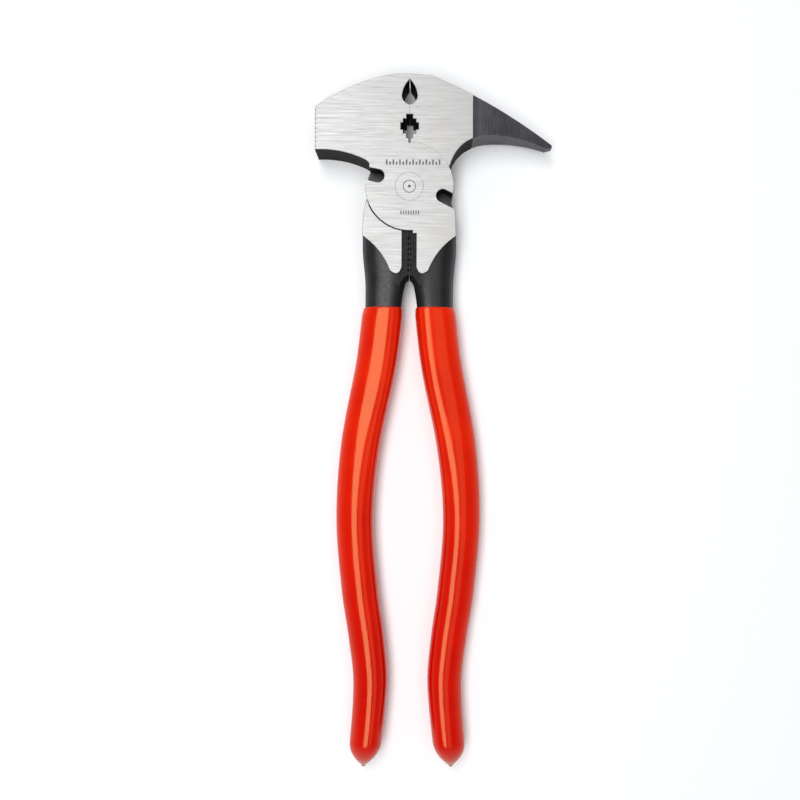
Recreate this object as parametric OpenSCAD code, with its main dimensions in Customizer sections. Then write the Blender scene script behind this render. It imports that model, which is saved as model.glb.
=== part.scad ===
/* [Head] */
// Thickness of the ground head, rear face to front face
head_t = 14; // [11:0.1:17]
// Radius of the two round discs that form the lap joint
joint_r = 16.7; // [13.5:0.1:20.5]
// Distance from the pivot to the hammer face
hammer_len = 35.9; // [30:0.1:44]
// Height of the hammer face
hammer_face_h = 15.9; // [13:0.1:19]
// Distance from the pivot to the tip of the spike
spike_len = 54.6; // [46:0.1:65]
// How far each side of the spike lies below the ground head
spike_step = 0.6; // [0.3:0.1:2]
// Depth of the checkering on the hammer face
checker_depth = 0.45; // [0.2:0.05:0.8]
// Spacing of the checkering grooves
checker_pitch = 1.7; // [1.2:0.1:2.5]

/* [Working holes] */
// Length of the slit between the joint and the stepped wire hole
slit_len = 1.6; // [1:0.1:4]
// Height of the stepped wire hole
stepped_h = 9; // [7:0.1:11]
// Width of the stepped wire hole
stepped_w = 6.8; // [5.5:0.1:8.5]
// Land between the stepped hole and the staple hole
land = 3.7; // [2:0.1:6]
// Height of the flame shaped staple hole
flame_h = 9.6; // [8:0.1:12]
// Width of the flame shaped staple hole
flame_w = 5.9; // [4.5:0.1:7.5]
// Metal above the staple hole
tip_land = 2.05; // [1.5:0.05:4]
// Width of the two wire cutting notches
notch_w = 4.9; // [3.5:0.1:6]
// Spacing of the teeth in the wire gripping throat
tooth_pitch = 2; // [1.5:0.1:2.2]
// Depth of the throat teeth
tooth_depth = 0.7; // [0.4:0.05:1]

/* [Pivot] */
// Radius of the rivet shank
rivet_r = 4.2; // [3.4:0.1:5.2]
// How much wider the flush rivet heads are than the shank
rivet_lip = 1.1; // [0.6:0.1:1.6]
// Running clearance between the rivet and the hammer lever
rivet_clear = 0.05; // [0.02:0.01:0.1]
// Gap round each joint disc
seam_gap = 0.3; // [0.2:0.05:0.5]
// Gap between the flat faces of the two discs
lap_gap = 0.1; // [0.05:0.05:0.2]
// Gap between the closed jaws
jaw_gap = 0.1; // [0.05:0.05:0.3]

/* [Handles] */
// Length of each handle from the rim of its grip to the end of the steel
handle_l = 170.4; // [140:0.1:206]
// Thickness of the steel in the lower handle
tang_t = 9.4; // [8:0.1:11]
// How far the forged necks lie below the ground faces
forged_step = 1; // [0.5:0.1:1.6]
// Thickness of the dipped grip
coat_t = 1.05; // [0.8:0.01:1.5]
// Length of the grip past the end of the steel
drip_l = 6.5; // [4:0.1:9]

/* [Hidden] */
$fn = 96;
eps = 0.01;
cut = 5;                                   // how far a cutter runs past what it cuts
bond_gap = 0.02;                           // space between the steel and its grip

mid_z = head_t / 2;
recess_r = joint_r + seam_gap;
forged_t = head_t - 2 * forged_step;
spike_t = head_t - 2 * spike_step;

// Heights of the working holes above the pivot
stepped_y = joint_r + slit_len;
flame_y = stepped_y + stepped_h + land;
jaw_top = flame_y + flame_h + tip_land;

// Hammer jaw
hammer_low = 13.8;                         // lower edge of the hammer face above the pivot
hammer_high = hammer_low + hammer_face_h;
hammer_chamfer = [0.5, 0.9];               // bevel between the top and the hammer face
crown_x = 13;                              // where the top turns down towards the hammer
crown_drop = 1.6;
crown_flat_x = 4.4;
crown_bow = 0.3;                           // rise of each curved stretch above a straight line
hammer_top_bow = 0.9;
hammer_under_bow = 1.3;
root_angle = 149;                          // where the underside meets the joint
root_out = 2.5;                            // how far outside the joint that corner lies
root_lip = 0.8;                            // last bit of metal before the joint
root_lip_angle = 150;
root_end_angle = 155;

// Spike jaw
spike_shoulder_x = 8.3;                    // where the top turns down towards the spike
spike_shoulder_drop = 0.5;
spike_tip_y = 16.2;
spike_tip_h = 1;
spike_heel_x = 52.1;                       // blunt underside of the tip
spike_heel_drop = 0.5;
spike_arch = [29, 19.6];                   // highest point of the underside
spike_root_angle = 27.2;
spike_root_out = 0.4;
spike_top_bow = 1.2;
spike_under_bow = 1.35;
spike_root_bow = 3;
ground_end_x = 23.9;                       // where the ground face gives way to the spike
spike_tip_t = 3.3;
spike_flank_x = 38;                        // where the sides start to taper to the tip
spike_flank_in = 0.3;                      // rounding away of the sides just past the ground face
spike_flank_l = 2;

// Necks
shoulder_w = joint_r + 1.3;                // half the width over both necks
shoulder_angle = 17;                       // where a neck leaves the joint, below the level
shoulder_y = joint_r - 6.7;                // where the shoulder is nearly at its full width
shoulder_in = 0.6;
tongue_y = joint_r + 2;                    // where the ground tongue leaves the outer edge
tongue_edge_in = 0.2;
tongue_nose_y = joint_r + 15.1;            // outer and inner start of the tongue's round nose
tongue_turn_y = joint_r + 13.8;
tongue_flank_bow = 1.35;
tongue_nose_bow = 1.9;
tongue_in = 2.75;                          // inner edge of the tongues
tongue_out = 7.3;
tab_in = 1.3;                              // inner edge of the short tab below each disc
tab_y = joint_r + 1.1;
throat_y = joint_r + 18.1;                 // where the necks part
throat_slab_y = joint_r + 16.5;            // end of the flat throat faces
throat_mouth = [[3.9, 3], [3.45, 1.7], [2.1, -0.4]];  // its edge: from the middle, past throat_y
throat_back = 4;                           // how far the throat's slab stays inside the shoulder
neck_curve = 0.4;                          // how sharply the necks part, 1 for a straight line
neck_waist_y = tongue_y + 3;               // where the necks start to narrow
tooth_count = 7;
tooth_y = joint_r + 2.95;                  // first tooth of the throat
rim_y = joint_r + 28.8;                    // upper edge of the grips

// Notches: centre angle, how far inside the disc's edge, and the way they open
left_notch = [161.7, 4.1, 169];
right_notch = [-15.4, 3.6, -27];

// Rivet
rivet_head_r = rivet_r + rivet_lip;
rivet_sink = 1.2;                          // depth of each flush head

// Handle centre line: share of the length, distance from the middle
handle_path = [[0, 10], [0.12, 12.5], [0.3, 18.5], [0.46, 20.6], [0.62, 18.4],
               [0.72, 15.85], [0.82, 14.3], [1, 16.9]];
// Width of the steel along the handle
tang_width = [[0, 13.7], [0.1, 13.8], [0.2, 13.8], [0.45, 12.3], [0.68, 12], [0.95, 10.4], [1.1, 10]];
thin_l = 75;                               // length over which the forging thins
grip_l = handle_l + drip_l;
tang_round_l = 5;                          // rounded end of the steel
grip_point_l = 10;                         // end of the grip, which narrows to a drip
point_power = 2.2;                         // 2 for an even curve, more for a blunter point
rim_roll_l = 3;                            // length over which the rolled rim reaches full thickness
rim_roll_start = 0.45;                     // share of the coat at its very edge

// Staple hole
flame_wide_y = 3.3;                        // its widest place above its lower end
flame_low_bow = 0.75;
flame_high_bow = 0.6;
// Stepped hole: share of width and height of each step
steps = [[1, 0.29], [0.72, 0.62], [0.36, 1]];
slit_w = 0.8;

// Half cross-section of a handle, inner side to outer side: share of half width and of half thickness
section = [[-1, 0], [-0.93, 0.52], [-0.72, 0.9], [-0.38, 1], [0.36, 0.92], [0.68, 0.72], [0.9, 0.44], [1, 0]];
ring = concat(section, [for (i = [6:-1:1]) [section[i][0], -section[i][1]]]);

function polar(r, a) = [r * cos(a), r * sin(a)];
function clamp01(v) = min(max(v, 0), 1);
function smooth(v) = let (c = clamp01(v)) c * c * (3 - 2 * c);

// Points of a shallow arc from p to q, without q, that stands bulge to the left of the way from p to q
function bow(p, q, bulge, steps = 10) =
    let (way = q - p, left = [-way[1], way[0]] / norm(way))
    [for (i = [0:steps - 1]) let (t = i / steps) p + t * way + 4 * bulge * t * (1 - t) * left];

// Smooth curve through knots of [place, value]
function slope(k, i) = let (a = max(i - 1, 0), b = min(i + 1, len(k) - 1))
    (k[b][1] - k[a][1]) / (k[b][0] - k[a][0]);
function span(k, u, i = 0) = i >= len(k) - 2 || u < k[i + 1][0] ? i : span(k, u, i + 1);
function along(k, u) =
    let (i = span(k, u), h = k[i + 1][0] - k[i][0], t = (u - k[i][0]) / h)
    (2 * t ^ 3 - 3 * t ^ 2 + 1) * k[i][1] + (t ^ 3 - 2 * t ^ 2 + t) * h * slope(k, i)
    + (3 * t ^ 2 - 2 * t ^ 3) * k[i + 1][1] + (t ^ 3 - t ^ 2) * h * slope(k, i + 1);

// Edges and thickness of the steel at a distance y below the pivot
function rim_half() = along(tang_width, 0) / 2;
function neck_inner(y) = jaw_gap / 2 + (handle_path[0][1] - rim_half() - jaw_gap / 2)
    * clamp01((y - throat_y) / (rim_y - throat_y)) ^ neck_curve;
function neck_outer(y) = let (rim_outer = handle_path[0][1] + rim_half())
    shoulder_w + (rim_outer - shoulder_w) * smooth((y - neck_waist_y) / (throat_y - tongue_y));
function tang_centre(y) = y < rim_y ? (neck_inner(y) + neck_outer(y)) / 2
    : along(handle_path, (y - rim_y) / grip_l);
function tang_half(y) = y < rim_y ? (neck_outer(y) - neck_inner(y)) / 2
    : along(tang_width, (y - rim_y) / grip_l) / 2;
function tang_half_t(y) = forged_t / 2 + (tang_t - forged_t) / 2 * smooth((y - tongue_y) / thin_l);

// One ring of a handle: centre, half width, half thickness
function ring_at(y, half_w, half_t) =
    [for (p = ring) [tang_centre(y) + p[0] * half_w, -y, mid_z + p[1] * half_t]];
// Share of the full size left at a distance past the start of a rounded end
function round_end(past, l) = sqrt(max(1 - (past / l) ^ 2, 0.02));
function pointed_end(past, l) = max(1 - (past / l) ^ point_power, 0.12);

module sweep(rings) {
    n = len(ring);
    last = len(rings) - 1;
    sides = [for (i = [0:last - 1]) for (j = [0:n - 1])
        [i * n + j, i * n + (j + 1) % n, (i + 1) * n + (j + 1) % n, (i + 1) * n + j]];
    start = [[for (j = [n - 1:-1:0]) j]];
    end = [[for (j = [0:n - 1]) last * n + j]];
    polyhedron(points = [for (r = rings) each r], faces = concat(start, sides, end), convexity = 6);
}

// Forged steel of one handle, from just below the joint to its rounded end
module tang(grow = 0) {
    start_y = recess_r + 0.5;
    end_y = rim_y + handle_l;
    round_y = end_y - tang_round_l;
    neck = [for (i = [0:7]) start_y + i * (throat_y - start_y) / 7];
    flare = [for (i = [1:5]) throat_y + (rim_y - throat_y) * (i / 5) ^ 1.5];
    shaft = [for (i = [1:15]) rim_y + i * (round_y - rim_y) / 15];
    tip = [for (a = [30, 55, 75, 90]) round_y + tang_round_l * sin(a)];
    sweep([for (y = concat(neck, flare, shaft, tip))
        let (k = round_end(max(y - round_y, 0), tang_round_l))
        ring_at(y, (tang_half(y) + grow) * k, (tang_half_t(y) + grow) * k)]);
}

// Outer skin of one grip, with a rolled upper rim and a drip at the end
module skin() {
    roll_y = rim_y + rim_roll_l;
    point_y = rim_y + grip_l - grip_point_l;
    rim = [for (i = [0:3]) rim_y + i * rim_roll_l / 3];
    shaft = [for (i = [1:16]) roll_y + i * (point_y - roll_y) / 16];
    tip = [for (share = [0.3, 0.5, 0.68, 0.84, 0.95, 1]) point_y + grip_point_l * share];
    sweep([for (y = concat(rim, shaft, tip))
        let (share = sqrt(clamp01((y - rim_y) / rim_roll_l)),
             coat = coat_t * (rim_roll_start + (1 - rim_roll_start) * share),
             k = pointed_end(max(y - point_y, 0), grip_point_l))
        ring_at(y, (tang_half(y) + coat) * k, (tang_half_t(y) + coat) * k)]);
}

module grip() {
    difference() {
        skin();
        tang(bond_gap);
    }
}

// Turns a lever that carries the front disc into one that carries the rear disc
module turn_over() {
    translate([0, 0, head_t]) rotate([0, 180, 0]) children();
}

module hammer_outline() {
    crown = [-crown_x, jaw_top - crown_drop];
    brow = [-hammer_len, hammer_high] + hammer_chamfer;
    corner = polar(joint_r + root_out, root_angle);
    polygon(concat(
        [[-jaw_gap / 2, 0], [-jaw_gap / 2, jaw_top]],
        bow([-crown_flat_x, jaw_top], crown, -crown_bow, 4),
        bow(crown, brow, -hammer_top_bow),
        [brow, [-hammer_len, hammer_high]],
        bow([-hammer_len, hammer_low], corner, hammer_under_bow),
        [corner, polar(joint_r + root_lip, root_lip_angle), polar(joint_r, root_end_angle)]));
}

module spike_outline() {
    root = polar(joint_r + spike_root_out, spike_root_angle);
    shoulder = [spike_shoulder_x, jaw_top - spike_shoulder_drop];
    point = [spike_len, spike_tip_y + spike_tip_h];
    polygon(concat(
        [[jaw_gap / 2, 0], [jaw_gap / 2, jaw_top]],
        bow(shoulder, point, spike_top_bow, 12),
        [point, [spike_len, spike_tip_y]],
        bow([spike_heel_x, spike_tip_y - spike_heel_drop], spike_arch, -spike_under_bow),
        bow(spike_arch, root, -spike_root_bow, 12),
        [root]));
}

// Sideways profile of the spike jaw: full thickness when ground, then the narrower tapered spike
module spike_side_profile() {
    half = [[0, mid_z], [ground_end_x, mid_z], [ground_end_x, spike_t / 2],
            [ground_end_x + spike_flank_l, spike_t / 2 - spike_flank_in],
            [spike_flank_x, spike_t / 2 - spike_flank_in], [spike_len + eps, spike_tip_t / 2]];
    polygon(concat(half, [for (i = [len(half) - 1:-1:0]) [half[i][0], -half[i][1]]]));
}

module flame_outline() {
    low = [0, flame_y];
    wide = [flame_w / 2, flame_y + flame_wide_y];
    high = [0, flame_y + flame_h];
    right = concat(bow(low, wide, -flame_low_bow, 5), bow(wide, high, -flame_high_bow, 7));
    polygon(concat(right, [high], [for (i = [len(right) - 1:-1:1]) [-right[i][0], right[i][1]]]));
}

module stepped_outline() {
    translate([0, stepped_y + stepped_h / 2])
        for (s = steps) square([stepped_w * s[0], stepped_h * s[1]], center = true);
}

module working_holes() {
    translate([0, 0, -cut]) linear_extrude(head_t + 2 * cut) {
        flame_outline();
        stepped_outline();
        translate([-slit_w / 2, joint_r - slit_w / 2]) square([slit_w, slit_len + slit_w]);
    }
}

module notch(place) {
    centre = polar(joint_r - place[1], place[0]);
    translate([centre[0], centre[1], mid_z - lap_gap]) {
        cylinder(d = notch_w, h = mid_z + cut);
        rotate([0, 0, place[2]]) translate([0, -notch_w / 2, 0])
            cube([joint_r / 2, notch_w, mid_z + cut]);
    }
}

// Ground cheek of one neck; the tab is the short step that only the disc's own side has
module cheek_outline(tab) {
    leave = polar(recess_r, -shoulder_angle);
    flank = [shoulder_w - tongue_edge_in, -tongue_y];
    nose = [tongue_out, -tongue_nose_y];
    inner = [tongue_in, -tongue_turn_y];
    top = tab ? [[tongue_in, -tab_y], [tab_in, -tab_y], [tab_in, 0]] : [[tongue_in, 0]];
    polygon(concat([leave, [shoulder_w - shoulder_in, -shoulder_y]],
                   bow(flank, nose, -tongue_flank_bow), bow(nose, inner, tongue_nose_bow, 8),
                   [inner], top));
}

// Flat face of the throat, where the teeth are cut
module throat_outline() {
    back = shoulder_w - throat_back;
    polygon(concat([[jaw_gap / 2, 0], [back, 0], [back, -tongue_y], [tongue_out, -tongue_nose_y]],
                   [for (p = throat_mouth) [p[0], -throat_y - p[1]]],
                   [[jaw_gap / 2, -throat_slab_y]]));
}

module throat_teeth() {
    side = tooth_depth * sqrt(2);
    for (i = [0:tooth_count - 1])
        translate([jaw_gap / 2, -tooth_y - i * tooth_pitch, mid_z]) rotate([0, 0, 45])
            cube([side, side, head_t + cut], center = true);
}

// Neck and handle on the right, with the joint disc in the front half
module lever_core() {
    translate([0, 0, mid_z + lap_gap / 2]) cylinder(r = joint_r, h = mid_z - lap_gap / 2);
    translate([0, 0, mid_z]) linear_extrude(mid_z) cheek_outline(true);
    linear_extrude(mid_z) cheek_outline(false);
    translate([0, 0, forged_step]) linear_extrude(forged_t) throat_outline();
    tang();
}

module lap_recess() {
    translate([0, 0, -cut]) cylinder(r = recess_r, h = mid_z + lap_gap / 2 + cut);
}

// Rivet with a flush flared head at each end
module rivet_shape(grow = 0) {
    rotate_extrude() polygon([
        [0, 0], [rivet_head_r + grow, 0], [rivet_r + grow, rivet_sink],
        [rivet_r + grow, head_t - rivet_sink], [rivet_head_r + grow, head_t], [0, head_t]]);
}

module checkering() {
    side = checker_depth * sqrt(2);
    face_mid_y = (hammer_low + hammer_high) / 2;
    rows = floor(hammer_face_h / checker_pitch / 2);
    columns = floor(head_t / checker_pitch / 2);
    translate([-hammer_len, face_mid_y, mid_z]) {
        for (i = [-rows:rows]) translate([0, i * checker_pitch, 0]) rotate([0, 0, 45])
            cube([side, side, head_t + cut], center = true);
        for (i = [-columns:columns]) translate([0, 0, i * checker_pitch]) rotate([0, 45, 0])
            cube([side, hammer_face_h + cut, side], center = true);
    }
}

module hammer_lever() {
    color([0.78, 0.78, 0.77]) difference() {
        union() {
            lever_core();
            linear_extrude(head_t) hammer_outline();
        }
        lap_recess();
        working_holes();
        notch(left_notch);
        notch(right_notch);
        throat_teeth();
        checkering();
        rivet_shape(rivet_clear);
    }
}

module spike_lever() {
    color([0.72, 0.72, 0.72]) difference() {
        union() {
            turn_over() lever_core();
            intersection() {
                linear_extrude(head_t) spike_outline();
                translate([0, jaw_top + cut, mid_z]) rotate([90, 0, 0])
                    linear_extrude(jaw_top + 2 * cut) spike_side_profile();
            }
        }
        turn_over() {
            lap_recess();
            notch(left_notch);
            notch(right_notch);
            throat_teeth();
        }
        working_holes();
        rivet_shape();
    }
}

module pivot_rivet() {
    color([0.6, 0.6, 0.6]) rivet_shape();
}

module right_grip() {
    color([0.88, 0.12, 0.03]) grip();
}

module left_grip() {
    color([0.88, 0.12, 0.03]) turn_over() grip();
}

hammer_lever();
spike_lever();
pivot_rivet();
right_grip();
left_grip();
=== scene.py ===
import math

import bmesh
import bpy
from mathutils import Matrix, Vector


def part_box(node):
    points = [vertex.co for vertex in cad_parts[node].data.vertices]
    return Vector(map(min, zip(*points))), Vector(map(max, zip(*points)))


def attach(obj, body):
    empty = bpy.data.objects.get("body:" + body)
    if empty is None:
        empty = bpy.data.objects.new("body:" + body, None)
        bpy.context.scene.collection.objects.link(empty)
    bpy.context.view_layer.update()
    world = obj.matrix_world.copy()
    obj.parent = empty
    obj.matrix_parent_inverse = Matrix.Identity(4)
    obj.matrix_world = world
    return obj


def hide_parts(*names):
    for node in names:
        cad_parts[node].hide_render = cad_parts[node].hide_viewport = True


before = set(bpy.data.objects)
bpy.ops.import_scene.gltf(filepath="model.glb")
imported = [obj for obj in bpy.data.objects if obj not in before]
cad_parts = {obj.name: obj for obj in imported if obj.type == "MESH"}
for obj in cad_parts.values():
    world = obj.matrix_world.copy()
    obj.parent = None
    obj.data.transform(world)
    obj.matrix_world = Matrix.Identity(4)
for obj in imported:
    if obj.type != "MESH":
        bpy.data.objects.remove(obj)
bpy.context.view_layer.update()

# Lengths below are in millimetres, and shapes are scaled to metres as they are made.
MM = 0.001


def in_mm(corner):
    return [value / MM for value in corner]


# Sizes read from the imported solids
steel_low, steel_high = map(in_mm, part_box("hammer_lever"))
spike_high = in_mm(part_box("spike_lever")[1])
grip_low, grip_high = map(in_mm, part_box("right_grip"))
rivet_high = in_mm(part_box("pivot_rivet")[1])

HEAD_T = steel_high[2]
MID_Z = HEAD_T / 2
JAW_TOP = steel_high[1]
HAMMER_LEN = -steel_low[0]
SPIKE_LEN = spike_high[0]
RIVET_HEAD_R = rivet_high[0]
RIM_Y = -grip_high[1]
GRIP_L = grip_high[1] - grip_low[1]

# Joint
JOINT_R = 16.7
SEAM_GAP = 0.3
LAP_GAP = 0.1
JAW_GAP = 0.1
RECESS_R = JOINT_R + SEAM_GAP
SEAM_SHIFT = (0.09, -0.09)                 # the seam is closer above the pivot than below it
RIVET_R = RIVET_HEAD_R - 1.1
RIVET_SINK = 1.2
RIVET_CLEAR = 0.05

# Working holes
SLIT_W = 0.8
STEPPED_Y = JOINT_R + 1.6
STEPPED_W = 6.8
STEPPED_H = 9
STEPS = [(1, 0.29), (0.72, 0.62), (0.36, 1)]
FLAME_Y = STEPPED_Y + STEPPED_H + 3.7
FLAME_W = 5.9
FLAME_H = 9.6
FLAME_WIDE_Y = 3.3
NOTCH_W = 4.9
LEFT_NOTCH = (161.7, 4.1, 169)
RIGHT_NOTCH = (-15.4, 3.6, -27)

# Jaws
HAMMER_LOW = 13.8
HAMMER_HIGH = HAMMER_LOW + 15.9
CHECKER_PITCH = 1.7
CHECKER_DEPTH = 0.45
GROUND_END_X = 23.9
SPIKE_T = HEAD_T - 1.2
SPIKE_TIP_Y = 16.2
SPIKE_TIP_T = 3.3

# Necks
FORGED_STEP = 1
FORGED_T = HEAD_T - 2 * FORGED_STEP
SHOULDER_W = JOINT_R + 1.3
TONGUE_Y = JOINT_R + 2
TONGUE_NOSE_Y = JOINT_R + 15.1
TONGUE_TURN_Y = JOINT_R + 13.8
TONGUE_IN = 2.75
TONGUE_OUT = 7.3
TAB_IN = 1.3
TAB_Y = JOINT_R + 1.1
THROAT_Y = JOINT_R + 18.1
THROAT_SLAB_Y = JOINT_R + 16.5
THROAT_MOUTH = [(3.9, 3), (3.45, 1.7), (2.1, -0.4)]
NECK_WAIST_Y = TONGUE_Y + 3
WEDGE_FRONT, WEDGE_BACK = 0.03, 0.31       # half the gap between the jaw tips
THROAT_GAP = 0.32
NECK_START = THROAT_GAP / 2 + 0.1          # inner side of each neck at the joint
TOOTH_COUNT = 7
TOOTH_PITCH = 2
TOOTH_DEPTH = 0.7
TOOTH_Y = JOINT_R + 2.95

# Handles: share of the grip's length, then distance from the middle or width
HANDLE_PATH = [(0, 10), (0.12, 12.5), (0.3, 18.5), (0.46, 20.6), (0.62, 18.4), (0.72, 15.85),
               (0.82, 14.3), (1, 16.9)]
TANG_WIDTH = [(0, 13.7), (0.1, 13.8), (0.2, 13.8), (0.45, 12.3), (0.68, 12), (0.95, 10.4), (1.1, 10)]
TANG_T = 9.4
THIN_L = 75
DRIP_L = 6.5
COAT_T = 1.05
BOND_GAP = 0.02
RIM_ROLL_L = 3
TANG_ROUND_L = 5
GRIP_POINT_L = 10
POINT_POWER = 2.2

# Edges that turn by more than this are shaded sharp
SHARP_ANGLE = math.radians(24)

# Points of a handle closer together than this become one, in metres
MERGE_DISTANCE = 2e-6

# Half cross-section of a handle from its inner side to its outer side
SECTION = [(-1, 0), (-0.93, 0.52), (-0.72, 0.9), (-0.38, 1),
           (0.36, 0.92), (0.68, 0.72), (0.9, 0.44), (1, 0)]
ROUNDING_START = 26                        # below the rim, where the flat top starts to round over
ROUNDING_L = 58
CROWN_SHIFT = 0.1                          # how far the rounded top leans to the inner side

CHAMFER = 0.16
CUT = 5


# ---------------------------------------------------------------- outlines

def polar(radius, degrees):
    return (radius * math.cos(math.radians(degrees)), radius * math.sin(math.radians(degrees)))


def clamp01(value):
    return min(max(value, 0), 1)


def smooth(value):
    share = clamp01(value)
    return share * share * (3 - 2 * share)


def bow(start, end, bulge, steps=20):
    """Points of a shallow arc, without its end, that stands bulge to the left of the way."""
    way = (end[0] - start[0], end[1] - start[1])
    length = math.hypot(*way)
    left = (-way[1] / length, way[0] / length)
    points = []
    for i in range(steps):
        share = i / steps
        rise = 4 * bulge * share * (1 - share)
        points.append((start[0] + share * way[0] + rise * left[0],
                       start[1] + share * way[1] + rise * left[1]))
    return points


def along(knots, place):
    """Value at a place on the smooth curve through the knots."""
    spans = len(knots) - 1
    i = next((k for k in range(spans) if place < knots[k + 1][0]), spans - 1)

    def slope(k):
        before = knots[max(k - 1, 0)]
        after = knots[min(k + 1, spans)]
        return (after[1] - before[1]) / (after[0] - before[0])

    step = knots[i + 1][0] - knots[i][0]
    t = (place - knots[i][0]) / step
    return ((2 * t ** 3 - 3 * t ** 2 + 1) * knots[i][1]
            + (t ** 3 - 2 * t ** 2 + t) * step * slope(i)
            + (3 * t ** 2 - 2 * t ** 3) * knots[i + 1][1]
            + (t ** 3 - t ** 2) * step * slope(i + 1))


def hammer_outline():
    crown = (-13, JAW_TOP - 1.6)
    brow = (-HAMMER_LEN + 0.5, HAMMER_HIGH + 0.9)
    corner = polar(JOINT_R + 2.5, 149)
    return ([(-JAW_GAP / 2, 0), (-JAW_GAP / 2, JAW_TOP)]
            + bow((-4.4, JAW_TOP), crown, -0.3, 8)
            + bow(crown, brow, -0.9)
            + [brow, (-HAMMER_LEN, HAMMER_HIGH)]
            + bow((-HAMMER_LEN, HAMMER_LOW), corner, 1.3, 24)
            + [corner, polar(JOINT_R + 0.8, 150), polar(JOINT_R, 155)])


def spike_outline():
    root = polar(JOINT_R + 0.4, 27.2)
    shoulder = (8.3, JAW_TOP - 0.5)
    point = (SPIKE_LEN, SPIKE_TIP_Y + 1)
    arch = (29, 19.6)
    return ([(JAW_GAP / 2, 0), (JAW_GAP / 2, JAW_TOP)]
            + bow(shoulder, point, 1.2, 24)
            + [point, (SPIKE_LEN, SPIKE_TIP_Y)]
            + bow((52.1, SPIKE_TIP_Y - 0.5), arch, -1.35, 24)
            + bow(arch, root, -3, 28)
            + [root])


def flame_outline():
    low = (0, FLAME_Y)
    wide = (FLAME_W / 2, FLAME_Y + FLAME_WIDE_Y)
    high = (0, FLAME_Y + FLAME_H)
    right = bow(low, wide, -0.75, 10) + bow(wide, high, -0.6, 14)
    return right + [high] + [(-x, y) for x, y in reversed(right[1:])]


def stepped_outline():
    middle = STEPPED_Y + STEPPED_H / 2
    right = []
    for wide, tall in STEPS:
        right.append((STEPPED_W * wide / 2, STEPPED_H * tall / 2))
    corners = []
    for i, (x, y) in enumerate(right):
        corners.append((x, y))
        if i + 1 < len(right):
            corners.append((right[i + 1][0], y))
    upper = corners
    low = [(x, -y) for x, y in reversed(upper)]
    right_side = low + upper
    left_side = [(-x, y) for x, y in reversed(right_side)]
    return [(x, middle + y) for x, y in right_side + left_side]


def slit_outline():
    low, high = JOINT_R - SLIT_W / 2, STEPPED_Y + SLIT_W / 2
    return [(-SLIT_W / 2, low), (SLIT_W / 2, low), (SLIT_W / 2, high), (-SLIT_W / 2, high)]


def notch_outline(place):
    """A round-bottomed slot that runs out over the rim of the disc."""
    angle, inside, way = place
    centre = Vector(polar(JOINT_R - inside, angle))
    turn = Matrix.Rotation(math.radians(way), 2)
    half = NOTCH_W / 2
    bottom = [polar(half, degrees) for degrees in range(90, 271, 6)]
    mouth = [(JOINT_R / 2, -half), (JOINT_R / 2, half)]
    return [tuple(centre + turn @ Vector(p)) for p in bottom + mouth]


def cheek_outline(tab):
    leave = polar(RECESS_R, -17)
    flank = (SHOULDER_W - 0.2, -TONGUE_Y)
    nose = (TONGUE_OUT, -TONGUE_NOSE_Y)
    inner = (TONGUE_IN, -TONGUE_TURN_Y)
    top = [(TONGUE_IN, -TAB_Y), (TAB_IN, -TAB_Y), (TAB_IN, 0)] if tab else [(TONGUE_IN, 0)]
    return ([leave, (SHOULDER_W - 0.6, -JOINT_R + 6.7)]
            + bow(flank, nose, -1.35, 24) + bow(nose, inner, 1.9, 18) + [inner] + top)


def throat_outline():
    back = SHOULDER_W - 4
    return ([(THROAT_GAP / 2, 0), (back, 0), (back, -TONGUE_Y), (TONGUE_OUT, -TONGUE_NOSE_Y)]
            + [(x, -THROAT_Y - y) for x, y in THROAT_MOUTH]
            + [(THROAT_GAP / 2, -THROAT_SLAB_Y)])


def circle(radius, steps=180):
    return [polar(radius, 360 * i / steps) for i in range(steps)]


# ---------------------------------------------------------------- solids

def put_in_scene(name, mesh):
    made = bpy.data.objects.new(name, mesh)
    bpy.context.scene.collection.objects.link(made)
    return made


def to_object(name, shape):
    """Turns a bmesh in millimetres into an object in metres."""
    bmesh.ops.scale(shape, vec=(MM, MM, MM), verts=shape.verts)
    mesh = bpy.data.meshes.new(name)
    shape.to_mesh(mesh)
    shape.free()
    return put_in_scene(name, mesh)


def prism(name, outline, low, high):
    """A block with straight walls and the given outline between two heights."""
    area = sum(a[0] * b[1] - b[0] * a[1] for a, b in zip(outline, outline[1:] + outline[:1]))
    ring = outline if area > 0 else outline[::-1]
    shape = bmesh.new()
    under = [shape.verts.new((x, y, low)) for x, y in ring]
    over = [shape.verts.new((x, y, high)) for x, y in ring]
    shape.faces.new(under[::-1])
    shape.faces.new(over)
    for i in range(len(ring)):
        j = (i + 1) % len(ring)
        shape.faces.new([under[i], under[j], over[j], over[i]])
    return to_object(name, shape)


def lathe(name, profile, steps=120):
    """A turned solid round the pivot: profile points are radius and height, from axis to axis."""
    shape = bmesh.new()
    start = shape.verts.new((0, 0, profile[0][1]))
    end = shape.verts.new((0, 0, profile[-1][1]))
    rings = []
    for radius, height in profile[1:-1]:
        rings.append([shape.verts.new((*p, height)) for p in circle(radius, steps)])
    for i in range(steps):
        j = (i + 1) % steps
        shape.faces.new([start, rings[0][j], rings[0][i]])
        for a, b in zip(rings, rings[1:]):
            shape.faces.new([a[i], a[j], b[j], b[i]])
        shape.faces.new([end, rings[-1][i], rings[-1][j]])
    bmesh.ops.recalc_face_normals(shape, faces=shape.faces)
    return to_object(name, shape)


def plain_mesh(obj):
    """Replaces an object's mesh by what its modifiers make of it."""
    depsgraph = bpy.context.evaluated_depsgraph_get()
    made = bpy.data.meshes.new_from_object(obj.evaluated_get(depsgraph), depsgraph=depsgraph)
    obj.modifiers.clear()
    obj.data = made
    return obj


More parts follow.
